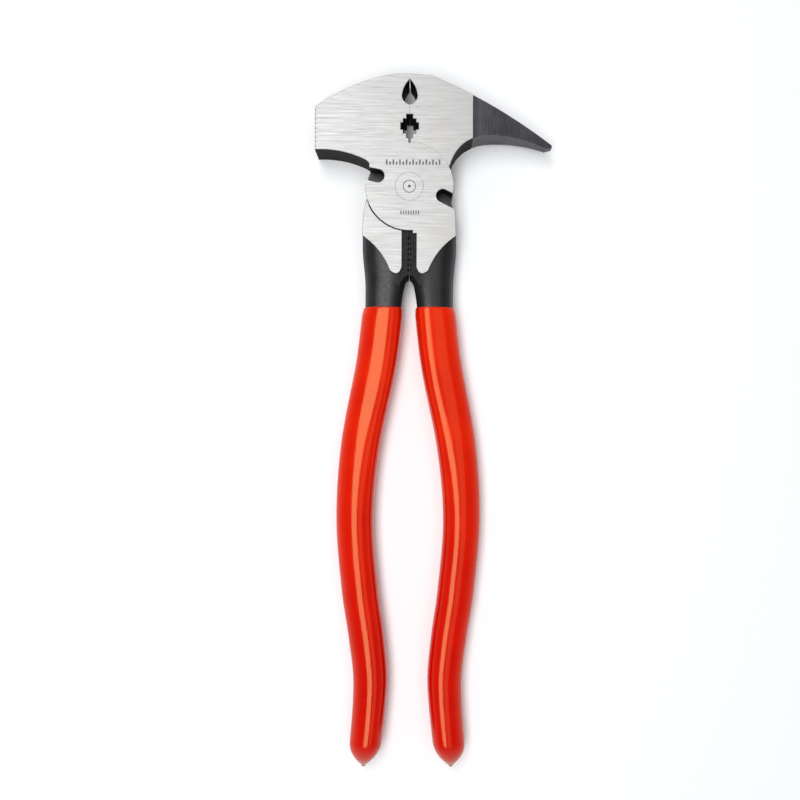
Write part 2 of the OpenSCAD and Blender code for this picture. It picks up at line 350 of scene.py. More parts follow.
def shape_with(body, tools, operation):
    """Joins tools to a body, or cuts them out of it, and removes them."""
    for tool in tools:
        step = body.modifiers.new(tool.name, "BOOLEAN")
        step.operation = operation
        step.solver = "EXACT"
        step.object = tool
    plain_mesh(body)
    for tool in tools:
        bpy.data.objects.remove(tool)
    return body


TURN_OVER = Matrix.Translation((0, 0, HEAD_T * MM)) @ Matrix.Rotation(math.pi, 4, "Y")


def turned_over(obj):
    obj.data.transform(TURN_OVER)
    return obj


# ---------------------------------------------------------------- node trees for shapes

def new_tree(name, inputs):
    """A geometry tree with one geometry input and output and the named inputs."""
    tree = bpy.data.node_groups.new(name, "GeometryNodeTree")
    tree.is_modifier = True
    tree.interface.new_socket("Geometry", in_out="INPUT", socket_type="NodeSocketGeometry")
    for label, kind in inputs:
        tree.interface.new_socket(label, in_out="INPUT", socket_type=kind)
    tree.interface.new_socket("Geometry", in_out="OUTPUT", socket_type="NodeSocketGeometry")
    given = tree.nodes.new("NodeGroupInput")
    return tree, given


def add_node(tree, kind, settings=None, **links):
    """Adds a node, with its properties from settings and its inputs from links by socket number."""
    node = tree.nodes.new(kind)
    for key, value in (settings or {}).items():
        setattr(node, key, value)
    for key, value in links.items():
        socket = node.inputs[int(key[1:])]
        if isinstance(value, bpy.types.NodeSocket):
            tree.links.new(value, socket)
        else:
            socket.default_value = value
    return node


def maths(tree, operation, a, b=0.0):
    return add_node(tree, "ShaderNodeMath", {"operation": operation}, s0=a, s1=b).outputs[0]


def end_tree(tree, geometry, material):
    """Ends a tree in Realize Instances and Set Material."""
    real = add_node(tree, "GeometryNodeRealizeInstances", s0=geometry)
    dressed = add_node(tree, "GeometryNodeSetMaterial", s0=real.outputs[0], s2=material)
    output = tree.nodes.new("NodeGroupOutput")
    tree.links.new(dressed.outputs[0], output.inputs[0])


def handle_loft():
    """Lays a cross-section round every point of a rail, and closes the seam and both ends."""
    tree, given = new_tree("handle loft", [
        ("Flat section", "NodeSocketObject"), ("Round section", "NodeSocketObject"),
        ("Coat thickness", "NodeSocketFloat"),
        ("Bond gap", "NodeSocketFloat"), ("Merge distance", "NodeSocketFloat"),
        ("Material", "NodeSocketMaterial")])
    rail = given.outputs["Geometry"]
    flat = add_node(tree, "GeometryNodeObjectInfo", s0=given.outputs["Flat section"]).outputs["Geometry"]
    curved = add_node(tree, "GeometryNodeObjectInfo", s0=given.outputs["Round section"]).outputs["Geometry"]
    rings = add_node(tree, "GeometryNodeAttributeDomainSize", s0=rail).outputs[0]
    points = add_node(tree, "GeometryNodeAttributeDomainSize", s0=flat).outputs[0]
    row = maths(tree, "ADD", points, 1.0)
    grid = add_node(tree, "GeometryNodeMeshGrid", s2=rings, s3=row)
    index = tree.nodes.new("GeometryNodeInputIndex").outputs[0]
    ring_index = maths(tree, "FLOOR", maths(tree, "DIVIDE", maths(tree, "ADD", index, 0.5), row))
    place = maths(tree, "SUBTRACT", index, maths(tree, "MULTIPLY", ring_index, row))
    point_index = maths(tree, "MODULO", place, points)

    def sample(geometry, kind, value, at):
        node = tree.nodes.new("GeometryNodeSampleIndex")
        node.data_type = kind
        tree.links.new(geometry, node.inputs[0])
        tree.links.new(value, node.inputs[1])
        tree.links.new(at, node.inputs[2])
        return node.outputs[0]

    def rail_value(name):
        named = tree.nodes.new("GeometryNodeInputNamedAttribute")
        named.data_type = "FLOAT"
        named.inputs[0].default_value = name
        return sample(rail, "FLOAT", named.outputs[0], ring_index)

    position = tree.nodes.new("GeometryNodeInputPosition").outputs[0]
    centre = sample(rail, "FLOAT_VECTOR", position, ring_index)
    corner = tree.nodes.new("ShaderNodeMix")
    corner.data_type = "VECTOR"
    tree.links.new(rail_value("roundness"), corner.inputs[0])
    tree.links.new(sample(flat, "FLOAT_VECTOR", position, point_index), corner.inputs[4])
    tree.links.new(sample(curved, "FLOAT_VECTOR", position, point_index), corner.inputs[5])
    apart = add_node(tree, "ShaderNodeSeparateXYZ", s0=corner.outputs[1])
    cover = rail_value("cover")
    share = rail_value("share")
    coat = maths(tree, "MULTIPLY", cover, given.outputs["Coat thickness"])
    bond = maths(tree, "MULTIPLY", maths(tree, "SUBTRACT", 1.0, cover), given.outputs["Bond gap"])
    grow = maths(tree, "ADD", coat, bond)
    wide = maths(tree, "MULTIPLY", maths(tree, "ADD", rail_value("half_width"), grow), share)
    thick = maths(tree, "MULTIPLY", maths(tree, "ADD", rail_value("half_thick"), grow), share)
    offset = add_node(tree, "ShaderNodeCombineXYZ",
                      s0=maths(tree, "MULTIPLY", apart.outputs[0], wide),
                      s2=maths(tree, "MULTIPLY", apart.outputs[2], thick))
    spot = add_node(tree, "ShaderNodeVectorMath", {"operation": "ADD"}, s0=centre, s1=offset.outputs[0])
    placed = add_node(tree, "GeometryNodeSetPosition", s0=grid.outputs[0], s2=spot.outputs[0])
    closed = add_node(tree, "GeometryNodeMergeByDistance", s0=placed.outputs[0],
                      s2=given.outputs["Merge distance"])
    end_tree(tree, closed.outputs[0], given.outputs["Material"])
    return tree


def bar_row():
    """A row of equal bars along Y, each turned about its own length, which lies along Z."""
    tree, given = new_tree("row of bars", [
        ("Count", "NodeSocketInt"), ("Pitch", "NodeSocketFloat"), ("Width", "NodeSocketFloat"),
        ("Depth", "NodeSocketFloat"), ("Length", "NodeSocketFloat"), ("Turn", "NodeSocketFloat"),
        ("Material", "NodeSocketMaterial")])
    count, pitch = given.outputs["Count"], given.outputs["Pitch"]
    low = maths(tree, "MULTIPLY", maths(tree, "MULTIPLY", maths(tree, "SUBTRACT", count, 1.0), pitch), -0.5)
    start = add_node(tree, "ShaderNodeCombineXYZ", s1=low)
    step = add_node(tree, "ShaderNodeCombineXYZ", s1=pitch)
    line = add_node(tree, "GeometryNodeMeshLine", {"mode": "OFFSET"},
                    s0=count, s2=start.outputs[0], s3=step.outputs[0])
    size = add_node(tree, "ShaderNodeCombineXYZ", s0=given.outputs["Depth"],
                    s1=given.outputs["Width"], s2=given.outputs["Length"])
    bar = add_node(tree, "GeometryNodeMeshCube", s0=size.outputs[0])
    turn = add_node(tree, "ShaderNodeCombineXYZ", s2=given.outputs["Turn"])
    rows = add_node(tree, "GeometryNodeInstanceOnPoints", s0=line.outputs[0], s2=bar.outputs[0],
                    s5=turn.outputs[0])
    end_tree(tree, rows.outputs[0], given.outputs["Material"])
    return tree


def grown(obj, tree, **values):
    """Runs a geometry tree on an object and keeps the result as a plain mesh."""
    step = obj.modifiers.new(tree.name, "NODES")
    step.node_group = tree
    sockets = {item.name: item.identifier for item in tree.interface.items_tree if item.in_out == "INPUT"}
    for label, value in values.items():
        step[sockets[label.replace("_", " ")]] = value
    return plain_mesh(obj)


# ---------------------------------------------------------------- shader groups

def new_material(name):
    made = bpy.data.materials.new(name)
    made.use_nodes = True
    shader = made.node_tree.nodes["Principled BSDF"]
    return made, made.node_tree, shader


def shader_group(name, inputs, outputs):
    tree = bpy.data.node_groups.new(name, "ShaderNodeTree")
    for label, kind, value in inputs:
        socket = tree.interface.new_socket(label, in_out="INPUT", socket_type=kind)
        socket.default_value = value
    for label, kind in outputs:
        tree.interface.new_socket(label, in_out="OUTPUT", socket_type=kind)
    return tree, tree.nodes.new("NodeGroupInput"), tree.nodes.new("NodeGroupOutput")


def use_group(tree, group, **values):
    node = tree.nodes.new("ShaderNodeGroup")
    node.node_tree = group
    for label, value in values.items():
        socket = node.inputs[label.replace("_", " ")]
        if isinstance(value, bpy.types.NodeSocket):
            tree.links.new(value, socket)
        else:
            socket.default_value = value
    return node


def object_place(tree, scale=(1, 1, 1), centre=(0, 0, 0)):
    """Object coordinates, stretched by scale after moving centre to the origin."""
    coordinates = tree.nodes.new("ShaderNodeTexCoord")
    mapping = tree.nodes.new("ShaderNodeMapping")
    mapping.vector_type = "POINT"
    mapping.inputs["Scale"].default_value = scale
    mapping.inputs["Location"].default_value = [-c * s for c, s in zip(centre, scale)]
    tree.links.new(coordinates.outputs["Object"], mapping.inputs["Vector"])
    return mapping.outputs[0]


def noise(tree, place, scale, detail=4.0, roughness=0.6, distortion=0.0):
    node = tree.nodes.new("ShaderNodeTexNoise")
    tree.links.new(place, node.inputs["Vector"])
    node.inputs["Scale"].default_value = scale
    node.inputs["Detail"].default_value = detail
    node.inputs["Roughness"].default_value = roughness
    node.inputs["Distortion"].default_value = distortion
    return node.outputs["Fac"]


def spread(tree, value, from_low, from_high, to_low=0.0, to_high=1.0):
    """Maps a value from one range to another, clamped."""
    node = tree.nodes.new("ShaderNodeMapRange")
    for socket, given in zip(node.inputs, (value, from_low, from_high, to_low, to_high)):
        if isinstance(given, bpy.types.NodeSocket):
            tree.links.new(given, socket)
        else:
            socket.default_value = given
    return node.outputs[0]


def mix_colour(tree, share, a, b):
    node = tree.nodes.new("ShaderNodeMix")
    node.data_type = "RGBA"
    for socket, value in zip((node.inputs[0], node.inputs[6], node.inputs[7]), (share, a, b)):
        if isinstance(value, bpy.types.NodeSocket):
            tree.links.new(value, socket)
        else:
            socket.default_value = value
    return node.outputs[2]


def edge_wear_group():
    """A mask that is strongest on sharp edges, broken up by a fine grain."""
    tree, given, out = shader_group(
        "edge wear", [("Radius", "NodeSocketFloat", 0.0004), ("Amount", "NodeSocketFloat", 1.0),
                      ("Grain", "NodeSocketFloat", 2500.0)], [("Mask", "NodeSocketFloat")])
    rounded = tree.nodes.new("ShaderNodeBevel")
    rounded.samples = 6
    tree.links.new(given.outputs["Radius"], rounded.inputs["Radius"])
    true_normal = tree.nodes.new("ShaderNodeNewGeometry").outputs["Normal"]
    agree = tree.nodes.new("ShaderNodeVectorMath")
    agree.operation = "DOT_PRODUCT"
    tree.links.new(rounded.outputs[0], agree.inputs[0])
    tree.links.new(true_normal, agree.inputs[1])
    edge = spread(tree, agree.outputs["Value"], 0.995, 0.75)
    grain = tree.nodes.new("ShaderNodeTexNoise")
    coordinates = tree.nodes.new("ShaderNodeTexCoord")
    tree.links.new(coordinates.outputs["Object"], grain.inputs["Vector"])
    tree.links.new(given.outputs["Grain"], grain.inputs["Scale"])
    broken = spread(tree, grain.outputs["Fac"], 0.35, 0.65, 0.25, 1.0)
    mask = maths(tree, "MULTIPLY", maths(tree, "MULTIPLY", edge, broken), given.outputs["Amount"])
    tree.links.new(mask, out.inputs["Mask"])
    return tree


def grinding_group():
    """Fine parallel grinding lines along X: a value for colour and one for height."""
    tree, given, out = shader_group(
        "grinding lines", [("Wander", "NodeSocketFloat", 0.00006)],
        [("Tone", "NodeSocketFloat"), ("Height", "NodeSocketFloat"), ("Cloud", "NodeSocketFloat"),
         ("Scratch", "NodeSocketFloat")])
    place = object_place(tree)
    drift = noise(tree, place, 45, 2.0)
    apart = tree.nodes.new("ShaderNodeSeparateXYZ")
    tree.links.new(place, apart.inputs[0])
    bend = maths(tree, "MULTIPLY", maths(tree, "SUBTRACT", drift, 0.5), given.outputs["Wander"])
    joined = tree.nodes.new("ShaderNodeCombineXYZ")
    tree.links.new(maths(tree, "MULTIPLY", apart.outputs[0], 0.022), joined.inputs[0])
    tree.links.new(maths(tree, "ADD", apart.outputs[1], bend), joined.inputs[1])
    tree.links.new(maths(tree, "MULTIPLY", apart.outputs[2], 0.4), joined.inputs[2])
    fine = noise(tree, joined.outputs[0], 5200, 2.0, 0.7)
    broad = noise(tree, joined.outputs[0], 2300, 3.0, 0.65)
    tone = maths(tree, "ADD", maths(tree, "MULTIPLY", fine, 0.5), maths(tree, "MULTIPLY", broad, 0.5))
    cloud = noise(tree, place, 70, 3.0, 0.5)
    thin = noise(tree, joined.outputs[0], 3900, 1.0, 0.5)
    where = noise(tree, place, 160, 2.0, 0.5)
    scratch = maths(tree, "MULTIPLY", spread(tree, thin, 0.66, 0.74), spread(tree, where, 0.5, 0.6))
    tree.links.new(scratch, out.inputs["Scratch"])
    tree.links.new(tone, out.inputs["Tone"])
    tree.links.new(fine, out.inputs["Height"])
    tree.links.new(cloud, out.inputs["Cloud"])
    return tree


def forge_group():
    """The grain of a forged, blackened surface: fine pits and broad mottling."""
    tree, given, out = shader_group(
        "forge grain", [("Grain", "NodeSocketFloat", 1600.0), ("Mottle", "NodeSocketFloat", 160.0)],
        [("Pits", "NodeSocketFloat"), ("Mottle", "NodeSocketFloat")])
    coordinates = tree.nodes.new("ShaderNodeTexCoord")
    for label, detail in (("Grain", 3.0), ("Mottle", 4.0)):
        node = tree.nodes.new("ShaderNodeTexNoise")
        tree.links.new(coordinates.outputs["Object"], node.inputs["Vector"])
        tree.links.new(given.outputs[label], node.inputs["Scale"])
        node.inputs["Detail"].default_value = detail
        target = "Pits" if label == "Grain" else "Mottle"
        tree.links.new(node.outputs["Fac"], out.inputs[target])
    return tree


def add_bump(tree, shader, height, distance, strength=1.0):
    bump = tree.nodes.new("ShaderNodeBump")
    bump.inputs["Strength"].default_value = strength
    bump.inputs["Distance"].default_value = distance
    tree.links.new(height, bump.inputs["Height"])
    tree.links.new(bump.outputs[0], shader.inputs["Normal"])


def ground_steel_material(name, bright, dull, warm, roughness, grinding, metallic=1.0):
    made, tree, shader = new_material(name)
    lines = use_group(tree, grinding)
    tone = spread(tree, lines.outputs["Tone"], 0.28, 0.70)
    steel = mix_colour(tree, tone, dull, bright)
    apart = tree.nodes.new("ShaderNodeSeparateXYZ")
    tree.links.new(object_place(tree), apart.inputs[0])
    side = spread(tree, apart.outputs[0], 0.004, 0.022)
    cloud = spread(tree, lines.outputs["Cloud"], 0.35, 0.7)
    tint = maths(tree, "MULTIPLY", maths(tree, "ADD", maths(tree, "MULTIPLY", side, 0.7), 0.15), cloud)
    steel = mix_colour(tree, tint, steel, warm)
    marked = maths(tree, "MULTIPLY", lines.outputs["Scratch"], 0.5)
    tree.links.new(mix_colour(tree, marked, steel, (0.12, 0.11, 0.105, 1)), shader.inputs["Base Color"])
    tree.links.new(spread(tree, lines.outputs["Tone"], 0.35, 0.65, roughness + 0.06, roughness - 0.05),
                   shader.inputs["Roughness"])
    shader.inputs["Metallic"].default_value = metallic
    add_bump(tree, shader, lines.outputs["Height"], 0.00003, 0.3)
    return made


def black_oxide_material(name, dark, light, worn, roughness, sheen, forge, wear, wear_amount, streaks=0.0,
                         throat_shade_depth=0.0):
    made, tree, shader = new_material(name)
    grain = use_group(tree, forge)
    across = noise(tree, object_place(tree, (1, 0.06, 0.2)), 2600, 3.0, 0.65)
    blend = maths(tree, "ADD", maths(tree, "MULTIPLY", grain.outputs["Mottle"], 1 - streaks),
                  maths(tree, "MULTIPLY", across, streaks))
    skin = mix_colour(tree, spread(tree, blend, 0.36, 0.64), dark, light)
    apart = tree.nodes.new("ShaderNodeSeparateXYZ")
    tree.links.new(object_place(tree), apart.inputs[0])
    # Painted shade: towards the middle line, in the throat between the two necks, the skin is darkened to
    # its dark tone and made rougher.
    painted_throat_shade = spread(tree, maths(tree, "ABSOLUTE", apart.outputs[0]), 0.0035, 0.0075, throat_shade_depth, 0.0)
    skin = mix_colour(tree, painted_throat_shade, skin, dark)
    rubbed = use_group(tree, wear, Amount=wear_amount)
    tree.links.new(mix_colour(tree, rubbed.outputs["Mask"], skin, worn), shader.inputs["Base Color"])
    uneven = spread(tree, grain.outputs["Pits"], 0.3, 0.7, roughness - 0.08, roughness + 0.1)
    throat_roughness = maths(tree, "MULTIPLY", painted_throat_shade, 0.5)
    tree.links.new(maths(tree, "ADD", uneven, throat_roughness), shader.inputs["Roughness"])
    shader.inputs["Metallic"].default_value = 0.0
    shader.inputs["Specular IOR Level"].default_value = sheen
    add_bump(tree, shader, grain.outputs["Pits"], 0.0001, 0.6)
    return made


def dipped_vinyl_material(name, forge):
    made, tree, shader = new_material(name)
    grain = use_group(tree, forge, Grain=900.0, Mottle=60.0)
    mottle = spread(tree, grain.outputs["Mottle"], 0.3, 0.7)
    apart = tree.nodes.new("ShaderNodeSeparateXYZ")
    tree.links.new(object_place(tree), apart.inputs[0])
    lower = mix_colour(tree, mottle, (0.58, 0.001, 0.0002, 1), (0.66, 0.002, 0.0003, 1))
    upper = mix_colour(tree, mottle, (0.66, 0.007, 0.0003, 1), (0.77, 0.013, 0.0004, 1))
    body = mix_colour(tree, spread(tree, apart.outputs[1], -0.175, -0.075), lower, upper)
    end_y = -(RIM_Y + GRIP_L) * MM
    tip = spread(tree, apart.outputs[1], end_y + 0.010, end_y + 0.003)
    nub = spread(tree, apart.outputs[1], end_y + 0.0035, end_y + 0.0005)
    pale = mix_colour(tree, maths(tree, "MULTIPLY", tip, 0.8), body, (0.52, 0.07, 0.06, 1))
    pale = mix_colour(tree, nub, pale, (0.46, 0.24, 0.20, 1))
    tree.links.new(pale, shader.inputs["Base Color"])
    tree.links.new(spread(tree, grain.outputs["Mottle"], 0.3, 0.7, 0.09, 0.16), shader.inputs["Roughness"])
    shader.inputs["Specular IOR Level"].default_value = 0.46
    shader.inputs["Specular Tint"].default_value = (1.0, 0.82, 0.36, 1)
    add_bump(tree, shader, grain.outputs["Mottle"], 0.0002, 0.25)
    return made


edge_wear = edge_wear_group()
grinding_lines = grinding_group()
forge_grain = forge_group()

STEEL_BRIGHT = (0.43, 0.43, 0.428, 1)
ground_steel = ground_steel_material(
    "ground steel", STEEL_BRIGHT, (0.30, 0.30, 0.298, 1), (0.385, 0.363, 0.338, 1), 0.47,
    grinding_lines)
# Painted highlight: a near-white, hardly metallic copy of the ground steel, used on one chamfer to paint
# its glint.
painted_glint_edge = ground_steel_material(
    "painted glint edge", (0.95, 0.95, 0.94, 1), (0.8, 0.8, 0.79, 1), (0.9, 0.88, 0.85, 1), 0.6,
    grinding_lines, 0.1)
rivet_steel = ground_steel_material(
    "rivet steel", STEEL_BRIGHT, (0.305, 0.305, 0.303, 1), (0.385, 0.366, 0.348, 1), 0.46,
    grinding_lines)
# The neck oxide carries painted shade in the throat between the levers.
black_oxide = black_oxide_material(
    "black oxide", (0.004, 0.004, 0.0048, 1), (0.011, 0.011, 0.013, 1), (0.10, 0.10, 0.11, 1), 0.36, 0.42,
    forge_grain, edge_wear, 0.35, throat_shade_depth=0.7)
dark_wall = black_oxide_material(
    "dark cut wall", (0.003, 0.003, 0.0035, 1), (0.008, 0.008, 0.0095, 1), (0.07, 0.07, 0.075, 1),
    0.66, 0.14, forge_grain, edge_wear, 0.3, 0.6)
spike_oxide = black_oxide_material(
    "spike oxide", (0.012, 0.0105, 0.0135, 1), (0.056, 0.050, 0.060, 1), (0.2, 0.19, 0.2, 1), 0.46, 0.5,
    forge_grain, edge_wear, 0.6, 0.6)
dipped_vinyl = dipped_vinyl_material("dipped vinyl", forge_grain)
etched_mark, etched_tree, etched_shader = new_material("etched mark")
etch_grain = use_group(etched_tree, forge_grain, Grain=6000.0)
etched_tree.links.new(
    mix_colour(etched_tree, spread(etched_tree, etch_grain.outputs["Pits"], 0.35, 0.65),
               (0.07, 0.066, 0.062, 1), (0.17, 0.165, 0.16, 1)), etched_shader.inputs["Base Color"])
etched_shader.inputs["Metallic"].default_value = 0.7
etched_shader.inputs["Roughness"].default_value = 0.55


# ---------------------------------------------------------------- handles

def rounded(ring, times):
    """Cuts the corners off a closed ring of points again and again."""
    for _ in range(times):
        cut = []
        for a, b in zip(ring, ring[1:] + ring[:1]):
            cut.append((0.75 * a[0] + 0.25 * b[0], 0.75 * a[1] + 0.25 * b[1]))
            cut.append((0.25 * a[0] + 0.75 * b[0], 0.25 * a[1] + 0.75 * b[1]))
        ring = cut
    wide = max(x for x, z in ring)
    tall = max(z for x, z in ring)
    return [(x / wide, z / tall) for x, z in ring]


def section_object(name, ring):
    mesh = bpy.data.meshes.new(name)
    mesh.from_pydata([(x, 0, z) for x, z in ring], [], [])
    return put_in_scene(name, mesh)


def rim_half():
    return along(TANG_WIDTH, 0) / 2


def neck_inner(y):
    return NECK_START + (HANDLE_PATH[0][1] - rim_half() - NECK_START) \
        * clamp01((y - THROAT_Y) / (RIM_Y - THROAT_Y)) ** 0.4


def neck_outer(y):
    rim_outer = HANDLE_PATH[0][1] + rim_half()
    return SHOULDER_W + (rim_outer - SHOULDER_W) * smooth((y - NECK_WAIST_Y) / (THROAT_Y - TONGUE_Y))


def tang_centre(y):
    if y < RIM_Y:
        return (neck_inner(y) + neck_outer(y)) / 2
    return along(HANDLE_PATH, (y - RIM_Y) / GRIP_L)


def tang_half(y):
    if y < RIM_Y:
        return (neck_outer(y) - neck_inner(y)) / 2
    return along(TANG_WIDTH, (y - RIM_Y) / GRIP_L) / 2


def tang_half_t(y):
    return FORGED_T / 2 + (TANG_T - FORGED_T) / 2 * smooth((y - TONGUE_Y) / THIN_L)


def round_end(past, length):
    return math.sqrt(max(1 - (past / length) ** 2, 0))


def pointed_end(past, length):
    return max(1 - (past / length) ** POINT_POWER, 0.12)


def between(start, end, steps, power=1.0):
    """Places from start to end, without start, bunched at the start by a power over 1."""
    return [start + (end - start) * (i / steps) ** power for i in range(1, steps + 1)]


def rail_object(name, rings):
    """A rail for the loft. Each ring is a place down the handle, its cover and its share."""
    mesh = bpy.data.meshes.new(name)
    mesh.from_pydata([(tang_centre(y) * MM, -y * MM, MID_Z * MM) for y, _, _ in rings], [], [])
    values = {"half_width": [tang_half(y) * MM for y, _, _ in rings],
              "half_thick": [tang_half_t(y) * MM for y, _, _ in rings],
              "roundness": [smooth((y - RIM_Y - ROUNDING_START) / ROUNDING_L) for y, _, _ in rings],
              "cover": [cover for _, cover, _ in rings],
              "share": [share for _, _, share in rings]}
    for label, numbers in values.items():
        mesh.attributes.new(label, "FLOAT", "POINT").data.foreach_set("value", numbers)
    return put_in_scene(name, mesh)


def outward(obj):
    """Points every face away from the metal or coat that it bounds."""
    shape = bmesh.new()
    shape.from_mesh(obj.data)
    bmesh.ops.remove_doubles(shape, verts=shape.verts, dist=1e-6)
    bmesh.ops.recalc_face_normals(shape, faces=shape.faces)
    if shape.calc_volume(signed=True) < 0:
        bmesh.ops.reverse_faces(shape, faces=shape.faces)
    shape.to_mesh(obj.data)
    shape.free()
    return obj


loft = handle_loft()
bars = bar_row()
flat_ring = rounded(SECTION + [(x, -z) for x, z in reversed(SECTION[1:-1])], 2)
flat_section = section_object("flat section", flat_ring)
round_section = section_object("round section", [
    (x / math.hypot(x, z) - CROWN_SHIFT * (z / math.hypot(x, z)) ** 2, z / math.hypot(x, z))
    for x, z in flat_ring])


def tang(name):
    """Forged steel of one handle, from just below the joint to its rounded end."""
    start, end = RECESS_R + 0.5, RIM_Y + GRIP_L - DRIP_L
    round_y = end - TANG_ROUND_L
    places = ([start] + between(start, THROAT_Y, 36) + between(THROAT_Y, RIM_Y, 16, 1.5)
              + between(RIM_Y, round_y, 60))
    rings = [(start, 0, 0)] + [(y, 0, 1) for y in places]
    for degrees in range(10, 91, 10):
        past = TANG_ROUND_L * math.sin(math.radians(degrees))
        rings.append((round_y + past, 0, round_end(past, TANG_ROUND_L)))
    made = grown(rail_object(name, rings), loft, Flat_section=flat_section,
                 Round_section=round_section, Coat_thickness=0.0, Bond_gap=0.0,
                 Merge_distance=MERGE_DISTANCE, Material=black_oxide)
    return outward(made)


def grip(name):
    """The dipped coat of one handle: up the inside, over the rolled rim and down to the drip."""
    tang_end = RIM_Y + GRIP_L - DRIP_L
    inner_round = tang_end - TANG_ROUND_L
    point_y = RIM_Y + GRIP_L - GRIP_POINT_L
    inside = []
    for degrees in range(90, 0, -15):
        past = TANG_ROUND_L * math.sin(math.radians(degrees))
        inside.append((inner_round + past, 0, round_end(past, TANG_ROUND_L)))
    inside += [(y, 0, 1) for y in reversed([RIM_Y] + between(RIM_Y, inner_round, 40))]
    roll = []
    for y in between(RIM_Y, RIM_Y + RIM_ROLL_L, 8, 2.0):
        roll.append((y, 0.45 + 0.55 * math.sqrt(clamp01((y - RIM_Y) / RIM_ROLL_L)), 1))
    outside = [(RIM_Y, 0.3, 1), (RIM_Y, 0.45, 1)] + roll
    outside += [(y, 1, 1) for y in between(RIM_Y + RIM_ROLL_L, point_y, 110)]
    for i in range(1, 21):
        past = GRIP_POINT_L * i / 20 * 0.985
        outside.append((point_y + past, 1, pointed_end(past, GRIP_POINT_L)))
    outside += [(point_y + GRIP_POINT_L * 0.997, 1, 0.08), (point_y + GRIP_POINT_L, 1, 0)]
    made = grown(rail_object(name, inside + outside), loft, Flat_section=flat_section,
                 Round_section=round_section, Coat_thickness=COAT_T * MM,
                 Bond_gap=BOND_GAP * MM, Merge_distance=MERGE_DISTANCE, Material=dipped_vinyl)
    return outward(made)


# ---------------------------------------------------------------- levers

def bar_cutter(name, place, count, pitch, side, length, turn, along_y=False):
    """A row of square bars standing on edge, ready to cut a row of V grooves."""
    made = grown(put_in_scene(name, bpy.data.meshes.new(name)), bars, Count=count, Pitch=pitch * MM,
                 Width=side * MM, Depth=side * MM, Length=length * MM, Turn=turn, Material=black_oxide)
    spot = Matrix.Translation(Vector(place) * MM)
    if along_y:
        spot = spot @ Matrix.Rotation(math.pi / 2, 4, "X")
    made.data.transform(spot)
    return made


def parting_wedge():
    """Towards the back the jaw tips stand a little apart."""
    reach = MID_Z + 1
    outline = [(WEDGE_FRONT, reach), (WEDGE_BACK, -reach), (-WEDGE_BACK, -reach), (-WEDGE_FRONT, reach)]
    made = prism("parting wedge", outline, -JAW_TOP - CUT, -FLAME_Y - FLAME_WIDE_Y)
    made.data.transform(Matrix.Translation((0, 0, MID_Z * MM)) @ Matrix.Rotation(math.pi / 2, 4, "X"))
    return made


def working_hole_cutters():
    low, high = -CUT, HEAD_T + CUT
    return [prism("staple hole", flame_outline(), low, high),
            prism("stepped hole", stepped_outline(), low, high),
            prism("slit", slit_outline(), low, high), parting_wedge()]


def disc_solid(name):
    return prism(name, circle(JOINT_R), MID_Z + LAP_GAP / 2, HEAD_T)


def core_solids():
    return [prism("front cheek", cheek_outline(True), MID_Z, HEAD_T),
            prism("rear cheek", cheek_outline(False), 0, MID_Z),
            prism("throat slab", throat_outline(), FORGED_STEP, HEAD_T - FORGED_STEP)]


def core_cutters():
    middle = TOOTH_Y + (TOOTH_COUNT - 1) * TOOTH_PITCH / 2
    side = TOOTH_DEPTH * math.sqrt(2)
    seat = [(x + SEAM_SHIFT[0], y + SEAM_SHIFT[1]) for x, y in circle(JOINT_R + 0.17)]
    return [prism("lap recess", seat, -CUT, MID_Z + LAP_GAP / 2),
            prism("left notch", notch_outline(LEFT_NOTCH), MID_Z - LAP_GAP, HEAD_T + CUT),
            prism("right notch", notch_outline(RIGHT_NOTCH), MID_Z - LAP_GAP, HEAD_T + CUT),
            bar_cutter("throat grooves", (THROAT_GAP / 2, -middle, MID_Z), TOOTH_COUNT, TOOTH_PITCH, side,
                       HEAD_T + CUT, math.pi / 4)]


def rivet_profile(grow=0.0, past=0.0):
    head, shank = RIVET_HEAD_R + grow, RIVET_R + grow
    return [(0, -past), (head, -past), (head, 0), (shank, RIVET_SINK), (shank, HEAD_T - RIVET_SINK),
            (head, HEAD_T), (head, HEAD_T + past), (0, HEAD_T + past)]


def spike_side_cutter():
    """What the spike keeps sideways: full thickness when ground, then the narrower taper."""
    full, tip = SPIKE_T / 2 - 0.3, SPIKE_TIP_T / 2
    half = [(-1, MID_Z + 1), (GROUND_END_X, MID_Z + 1), (GROUND_END_X, SPIKE_T / 2)]
    for i in range(25):
        x = GROUND_END_X + 2 + i * (SPIKE_LEN - GROUND_END_X - 1) / 24
        past = clamp01((x - GROUND_END_X - 2) / (SPIKE_LEN - GROUND_END_X - 1))
        half.append((x, full - (full - tip) * past ** 1.5))
    outline = half + [(x, -z) for x, z in reversed(half)]
    made = prism("spike sides", outline, -JAW_TOP - CUT, CUT)
    made.data.transform(Matrix.Translation((0, 0, MID_Z * MM)) @ Matrix.Rotation(math.pi / 2, 4, "X"))
    return made


def is_ground(face):
    """A face on the front or rear plane of the head."""
    height = face.calc_center_median().z / MM
    return abs(face.normal.z) > 0.99 and (abs(height) < 0.02 or abs(height - HEAD_T) < 0.02)


def takes_chamfer(edge):
    """The rivet hole, the parting line and the upper seam stay crisp."""
    middle = (edge.verts[0].co + edge.verts[1].co) / 2 / MM
    far = middle.xy.length
    if far < RIVET_HEAD_R + 0.3 or (middle.y > 0 and abs(middle.x) < 0.2):
        return False
    return not (middle.y > 0 and abs(far - JOINT_R) < 0.6)


